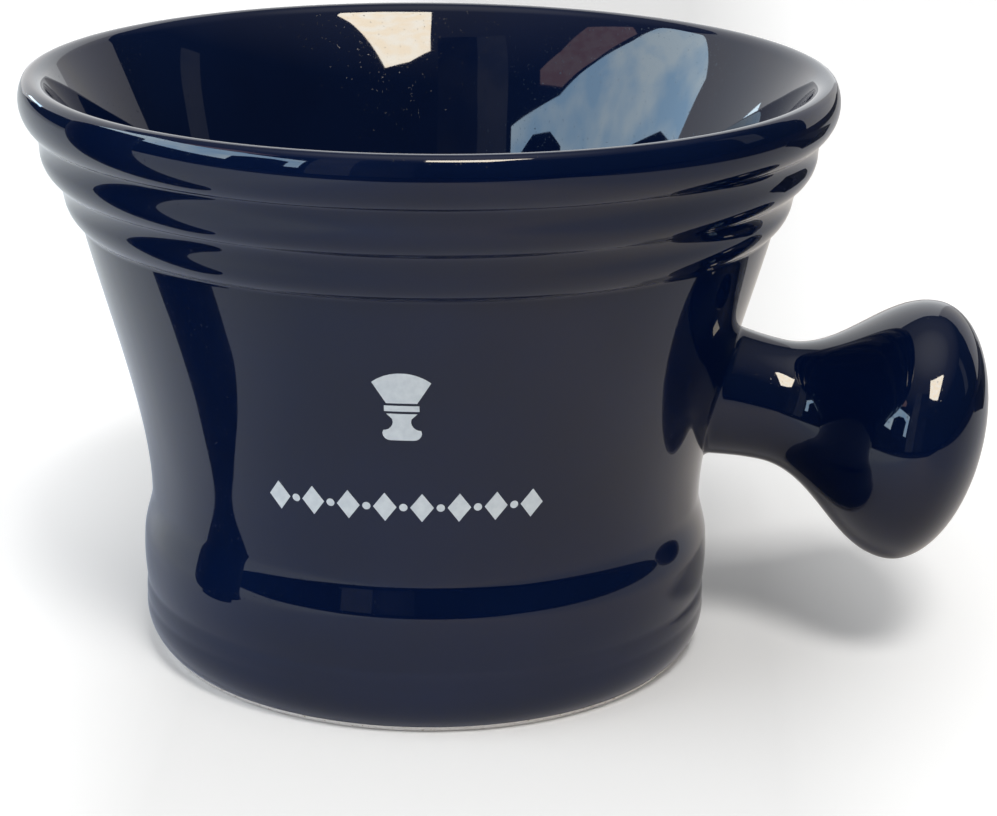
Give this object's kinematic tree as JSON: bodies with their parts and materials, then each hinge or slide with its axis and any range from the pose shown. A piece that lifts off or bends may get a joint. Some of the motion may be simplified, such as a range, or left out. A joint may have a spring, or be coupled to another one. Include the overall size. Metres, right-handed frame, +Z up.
{
  "type": "shaving mug",
  "caption": "Glazed ceramic shaving mug: a flared bowl with a rolled, ringed rim, a drawn-in waist, a banded foot and a hollow knob handle set square to a small front print.",
  "frame": {"origin": "on the bowl's axis, in the plane of the foot ring, where the mug stands on a table", "axes": "+Z up along the bowl's axis; +X from the bowl out along the handle; the print faces -Y"},
  "size_m": [0.1501, 0.125, 0.0916],
  "materials": {
    "biscuit": "bare fired clay, matt and slightly rough",
    "glaze": "navy gloss glaze",
    "print": "pale grey fired-on print, satin"
  },
  "bodies": {
    "root": {"bowl": "biscuit", "knob_handle": "biscuit", "handle_joint_slip": "biscuit", "outside_glaze": "glaze", "inside_glaze": "glaze", "base_glaze": "glaze", "handle_glaze": "glaze", "print_emblem": "print", "print_line": "print"}
  },
  "joints": []
}
